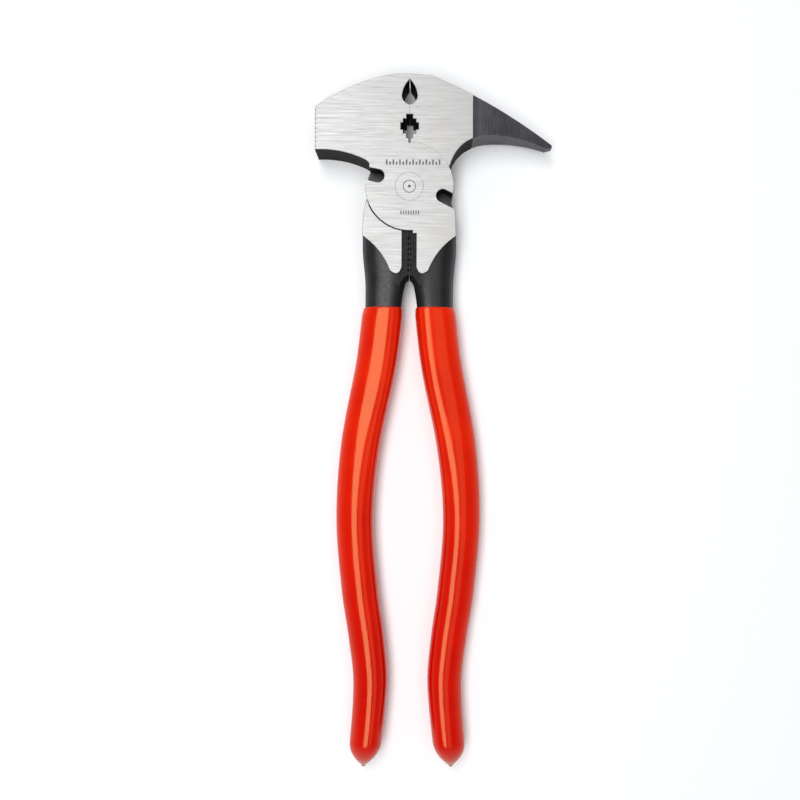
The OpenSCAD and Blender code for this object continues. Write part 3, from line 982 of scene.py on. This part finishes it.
def finish_lever(obj, materials, choose):
    """Chamfers the borders of the ground faces and gives every face its finish."""
    obj.data.materials.clear()
    for material in materials:
        obj.data.materials.append(material)
    shape = bmesh.new()
    shape.from_mesh(obj.data)
    bmesh.ops.remove_doubles(shape, verts=shape.verts, dist=2e-6)
    bmesh.ops.dissolve_degenerate(shape, dist=1e-6, edges=shape.edges)
    flat = [e for e in shape.edges if len(e.link_faces) == 2 and all(map(is_ground, e.link_faces))]
    spots = list({v for e in flat for v in e.verts})
    bmesh.ops.dissolve_limit(shape, angle_limit=0.01, verts=spots, edges=flat)
    borders = [e for e in shape.edges if len(e.link_faces) == 2
               and is_ground(e.link_faces[0]) != is_ground(e.link_faces[1])
               and e.calc_face_angle(0) > 0.6 and e.is_convex
               and takes_chamfer(e)]
    bmesh.ops.bevel(shape, geom=borders, offset=CHAMFER * MM, offset_type="OFFSET", segments=1,
                    profile=0.5, affect="EDGES", clamp_overlap=False)
    for face in shape.faces:
        face.material_index = choose(face)
        face.smooth = face.material_index != 0
    shape.to_mesh(obj.data)
    shape.free()
    obj.data.set_sharp_from_angle(angle=SHARP_ANGLE)
    return obj


def choose_finish(face):
    """0 ground steel, 1 black oxide, 2 spike oxide, 3 dark cut wall, 4 painted glint edge: a near-white
    chamfer that paints the glint at the end of the ground face.
    """
    centre = face.calc_center_median() / MM
    low, high = centre.z < 0.3, centre.z > HEAD_T - 0.3
    # Painted highlight: the chamfer at the end of the ground face gets the near-white finish that paints
    # its glint.
    if abs(centre.x - GROUND_END_X) < 0.2 and 0.3 < abs(face.normal.z) < 0.95:
        return 4
    if centre.x > GROUND_END_X - 0.05 and not (abs(face.normal.z) > 0.99 and (low or high)):
        return 2
    if (low or high) and abs(face.normal.z) > 0.3:
        return 0
    return 3 if abs(face.normal.z) < 0.35 else 1


hammer = prism("fence_hammer_lever", hammer_outline(), 0, HEAD_T)
shape_with(hammer, [disc_solid("joint disc")] + core_solids() + [tang("hammer tang")], "UNION")
checker_y = (HAMMER_LOW + HAMMER_HIGH) / 2
checker_side = CHECKER_DEPTH * math.sqrt(2)
shape_with(hammer, core_cutters() + working_hole_cutters() + [
    lathe("rivet hole", rivet_profile(RIVET_CLEAR, CUT)),
    bar_cutter("upright grooves", (-HAMMER_LEN, checker_y, MID_Z), 9, CHECKER_PITCH, checker_side,
               HEAD_T + CUT, math.pi / 4),
], "DIFFERENCE")
finish_lever(hammer, [ground_steel, black_oxide, spike_oxide, dark_wall, painted_glint_edge], choose_finish)

spike_core = disc_solid("fence_spike_lever")
shape_with(spike_core, core_solids() + [tang("spike tang")], "UNION")
turned_over(spike_core)
spike_jaw = prism("spike jaw", spike_outline(), 0, HEAD_T)
shape_with(spike_jaw, [spike_side_cutter()], "INTERSECT")
shape_with(spike_core, [spike_jaw], "UNION")
shape_with(spike_core, [turned_over(tool) for tool in core_cutters()] + working_hole_cutters()
           + [lathe("rivet hole", rivet_profile(0.0, CUT))], "DIFFERENCE")
finish_lever(spike_core, [ground_steel, black_oxide, spike_oxide, dark_wall, painted_glint_edge], choose_finish)

# Broken edge of the rivet heads, across and down
RIVET_EDGE_R, RIVET_EDGE_T = 0.05, 0.03
rivet = lathe("fence_pivot_rivet", [
    (0, 0), (RIVET_HEAD_R - RIVET_EDGE_R, 0), (RIVET_HEAD_R, RIVET_EDGE_T), (RIVET_R, RIVET_SINK),
    (RIVET_R, HEAD_T - RIVET_SINK), (RIVET_HEAD_R, HEAD_T - RIVET_EDGE_T),
    (RIVET_HEAD_R - RIVET_EDGE_R, HEAD_T), (0, HEAD_T)])
rivet.data.materials.append(rivet_steel)
for face in rivet.data.polygons:
    face.use_smooth = True
rivet.data.set_sharp_from_angle(angle=SHARP_ANGLE)

# The marks are thin plates let into the front disc, standing proud by a hair
MARK_T = 0.06
MARK_PROUD = 0.012
MARK_Z = HEAD_T - MARK_T / 2 + MARK_PROUD
RING_R = 2.45
RING_HOLE_R = 2.15
DOT_R = 0.6


def mark_row(name, place, count, pitch, wide, tall):
    """A short row of plain upright marks across the front of the disc."""
    made = grown(put_in_scene(name, bpy.data.meshes.new(name)), bars, Count=count, Pitch=pitch * MM,
                 Width=wide * MM, Depth=tall * MM, Length=MARK_T * MM, Turn=0.0, Material=etched_mark)
    moved = Matrix.Translation(Vector((*place, MARK_Z)) * MM)
    made.data.transform(moved @ Matrix.Rotation(math.pi / 2, 4, "Z"))
    return made


marks = prism("fence_etched_marks", circle(RING_R, 64), MARK_Z - MARK_T / 2, MARK_Z + MARK_T / 2)
shape_with(marks, [prism("ring hole", circle(RING_HOLE_R, 64), MARK_Z - 1, MARK_Z + 1)], "DIFFERENCE")
shape_with(marks, [prism("centre dot", circle(DOT_R, 32), MARK_Z - MARK_T / 2, MARK_Z + MARK_T / 2),
                   mark_row("tall marks", (1.4, 9.1), 9, 2.5, 0.6, 2.0),
                   mark_row("short marks", (1.4, 8.7), 8, 2.5, 0.6, 1.2),
                   mark_row("lower marks", (0.2, -10), 8, 0.95, 0.42, 1.5)], "UNION")
marks.data.materials.clear()
marks.data.materials.append(etched_mark)
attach(marks, "hammer_side")

right_grip = grip("fence_right_grip")
left_grip = turned_over(grip("fence_left_grip"))
for piece in (right_grip, left_grip):
    for face in piece.data.polygons:
        face.use_smooth = True
for section in (flat_section, round_section):
    bpy.data.objects.remove(section)

# ---------------------------------------------------------------- riding on the bodies

for piece, node, body, slot in (
        (hammer, "hammer_lever", "hammer_side", "forged_steel"),
        (spike_core, "spike_lever", "spike_side", "forged_steel"),
        (rivet, "pivot_rivet", "spike_side", "rivet_steel"),
        (right_grip, "right_grip", "hammer_side", "grip_vinyl"),
        (left_grip, "left_grip", "spike_side", "grip_vinyl")):
    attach(piece, body)
    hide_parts(node)

# ---------------------------------------------------------------- floor, light and camera

FLOOR_HALF = 3000
FLOOR_TOP = -0.4                           # just below the lowest point of the pliers
FLOOR_BOTTOM = -20
floor = prism("floor", [(-FLOOR_HALF, -FLOOR_HALF), (FLOOR_HALF, -FLOOR_HALF), (FLOOR_HALF, FLOOR_HALF),
                        (-FLOOR_HALF, FLOOR_HALF)], FLOOR_BOTTOM, FLOOR_TOP)
floor_paint, _, floor_shader = new_material("floor paint")
floor_shader.inputs["Base Color"].default_value = (0.92, 0.925, 0.93, 1)
floor_shader.inputs["Roughness"].default_value = 0.9
floor_shader.inputs["Specular IOR Level"].default_value = 0.1
floor_shader.inputs["Emission Color"].default_value = (0.93, 0.96, 1.0, 1)
floor_shader.inputs["Emission Strength"].default_value = 0.06
floor.data.materials.append(floor_paint)

world = bpy.data.worlds.new("studio")
bpy.context.scene.world = world
world.use_nodes = True
world.node_tree.nodes["Background"].inputs["Color"].default_value = (0.94, 0.97, 1.0, 1)
sky = world.node_tree
sky_place = sky.nodes.new("ShaderNodeTexCoord")
sky_apart = sky.nodes.new("ShaderNodeSeparateXYZ")
sky.links.new(sky_place.outputs["Generated"], sky_apart.inputs[0])
sky_strength = spread(sky, sky_apart.outputs[2], 0.0, 0.6, 0.85, 0.2)
sky.links.new(sky_strength, sky.nodes["Background"].inputs["Strength"])


def soft_light(name, place, size, radiance, colour=(1, 1, 1)):
    """A rectangular soft light that faces straight down, with a given brightness."""
    lamp = bpy.data.lights.new(name, "AREA")
    lamp.shape = "RECTANGLE"
    lamp.size, lamp.size_y = size
    lamp.energy = radiance * math.pi * size[0] * size[1]
    lamp.color = colour
    made = bpy.data.objects.new(name, lamp)
    made.location = place
    bpy.context.scene.collection.objects.link(made)
    return made


soft_light("key light", (-0.22, 0.0, 1.0), (0.42, 1.4), 5.7)
soft_light("fill light", (0.33, 0.0, 1.0), (0.40, 1.4), 0.8)

CAMERA_PLACE = (0.0044, -0.0847, 0.3415)
CAMERA_ROLL = math.radians(0.254)
camera_data = bpy.data.cameras.new("camera")
camera_data.sensor_width = 36
camera_data.lens = 38.94
camera_data.shift_x = -0.025
camera_data.shift_y = 0.0125
camera_data.clip_start = 0.01
camera = bpy.data.objects.new("camera", camera_data)
camera.location = CAMERA_PLACE
camera.rotation_euler = (0, 0, CAMERA_ROLL)
bpy.context.scene.collection.objects.link(camera)
bpy.context.scene.camera = camera
bpy.context.scene.view_settings.view_transform = "Standard"
